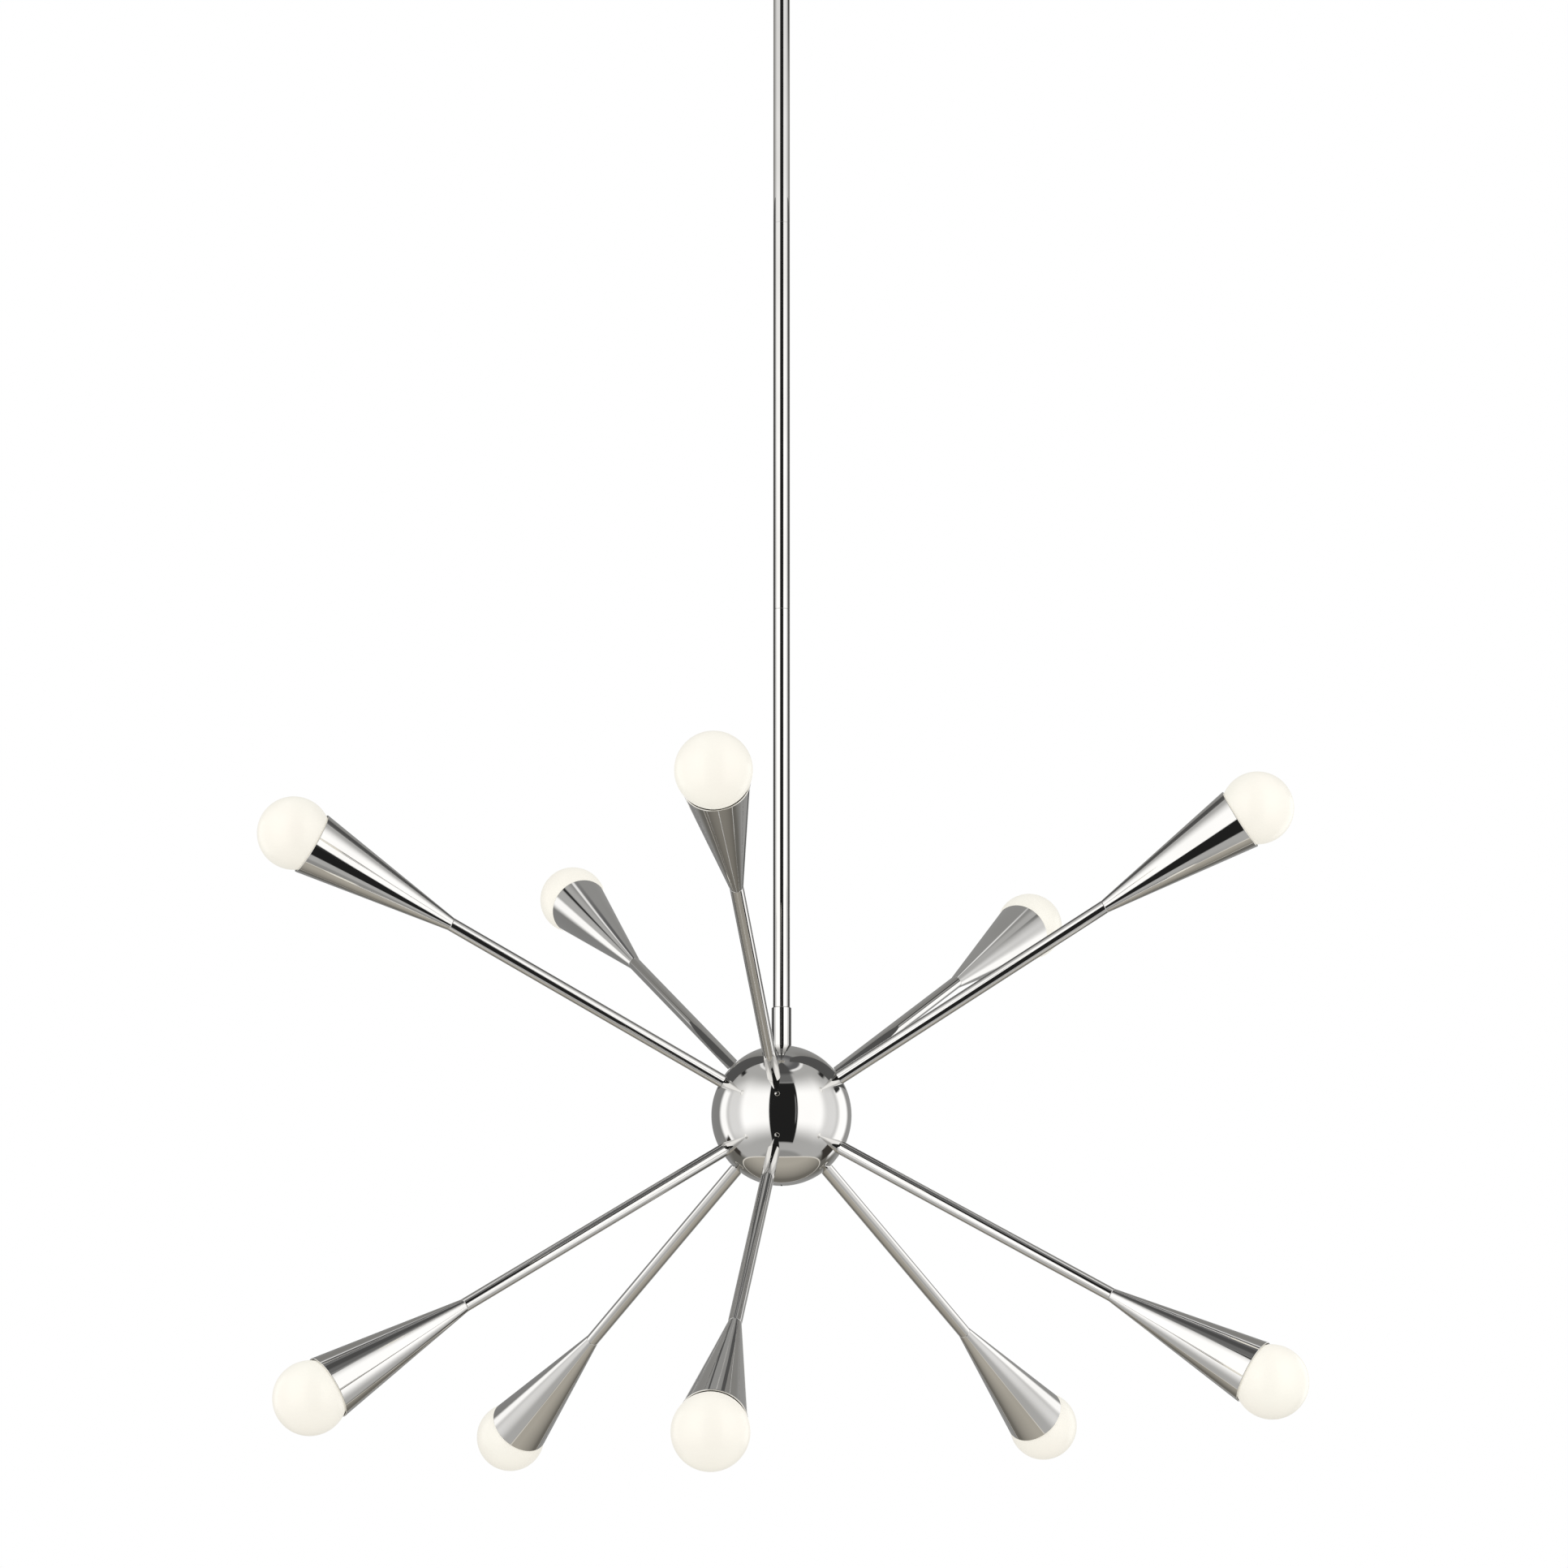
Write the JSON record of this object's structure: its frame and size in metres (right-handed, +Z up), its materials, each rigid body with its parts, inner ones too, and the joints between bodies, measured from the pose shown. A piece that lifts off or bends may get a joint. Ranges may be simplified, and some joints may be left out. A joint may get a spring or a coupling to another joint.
{
  "type": "sputnik chandelier",
  "caption": "Ceiling chandelier: a polished ball on a jointed stem, slender arms spread up and down, each ending in a cone with a round opal bulb, hung from a canopy with a tilting swivel.",
  "frame": {"origin": "centre of the ceiling plane: the top face of the crossbar and the rim of the canopy lie in it, on the stem's axis", "axes": "+Z up along the stem, -Y towards the front, where the arms named front point, +X to the right seen from the front"},
  "size_m": [0.7578, 0.7476, 1.3212],
  "materials": {
    "polished_nickel": "mirror polished nickel plate, slightly warm",
    "opal_glass": "smooth opal white glass, faintly lit",
    "socket_phenolic": "black moulded plastic",
    "cap_metal": "bare thin sheet",
    "zinc_steel": "zinc plated",
    "ground_green": "green dyed screw"
  },
  "bodies": {
    "ceiling_mount": {"crossbar": "zinc_steel", "canopy_studs": "zinc_steel", "cap_nuts": "polished_nickel", "ground_screw": "ground_green", "canopy": "polished_nickel"},
    "swivel": {"swivel_fork": "polished_nickel", "swivel_locknut": "zinc_steel", "swivel_pin": "polished_nickel"},
    "hanging": {"swivel_tang": "polished_nickel", "stem_lower": "polished_nickel", "stem_middle": "polished_nickel", "stem_upper": "polished_nickel", "collar": "polished_nickel", "ball_upper": "polished_nickel", "ball_lower": "polished_nickel", "tie_rod": "zinc_steel", "hub_locknut": "zinc_steel", "closing_screw": "polished_nickel", "arm_upper_front": "polished_nickel", "cone_upper_front": "polished_nickel", "socket_upper_front": "socket_phenolic", "bulb_upper_front": "opal_glass", "arm_upper_right": "polished_nickel", "cone_upper_right": "polished_nickel", "socket_upper_right": "socket_phenolic", "bulb_upper_right": "opal_glass", "arm_upper_back_right": "polished_nickel", "cone_upper_back_right": "polished_nickel", "socket_upper_back_right": "socket_phenolic", "bulb_upper_back_right": "opal_glass", "arm_upper_back_left": "polished_nickel", "cone_upper_back_left": "polished_nickel", "socket_upper_back_left": "socket_phenolic", "bulb_upper_back_left": "opal_glass", "arm_upper_left": "polished_nickel", "cone_upper_left": "polished_nickel", "socket_upper_left": "socket_phenolic", "bulb_upper_left": "opal_glass", "arm_lower_front": "polished_nickel", "cone_lower_front": "polished_nickel", "socket_lower_front": "socket_phenolic", "bulb_lower_front": "opal_glass", "arm_lower_right": "polished_nickel", "cone_lower_right": "polished_nickel", "socket_lower_right": "socket_phenolic", "bulb_lower_right": "opal_glass", "arm_lower_back_right": "polished_nickel", "cone_lower_back_right": "polished_nickel", "socket_lower_back_right": "socket_phenolic", "bulb_lower_back_right": "opal_glass", "arm_lower_back_left": "polished_nickel", "cone_lower_back_left": "polished_nickel", "socket_lower_back_left": "socket_phenolic", "bulb_lower_back_left": "opal_glass", "arm_lower_left": "polished_nickel", "cone_lower_left": "polished_nickel", "socket_lower_left": "socket_phenolic", "bulb_lower_left": "opal_glass", "arm_nuts": "zinc_steel", "bulb_caps": "cap_metal"}
  },
  "joints": [
    {"name": "swivel_turn", "type": "hinge", "parent": "ceiling_mount", "child": "swivel", "pos_m": [0, 0, -0.025], "axis": [0, 0, 1], "range_deg": [-175, 175]},
    {"name": "swivel_tilt", "type": "hinge", "parent": "swivel", "child": "hanging", "pos_m": [0, 0, -0.0364], "axis": [1, 0, 0], "range_deg": [-45, 45]}
  ]
}
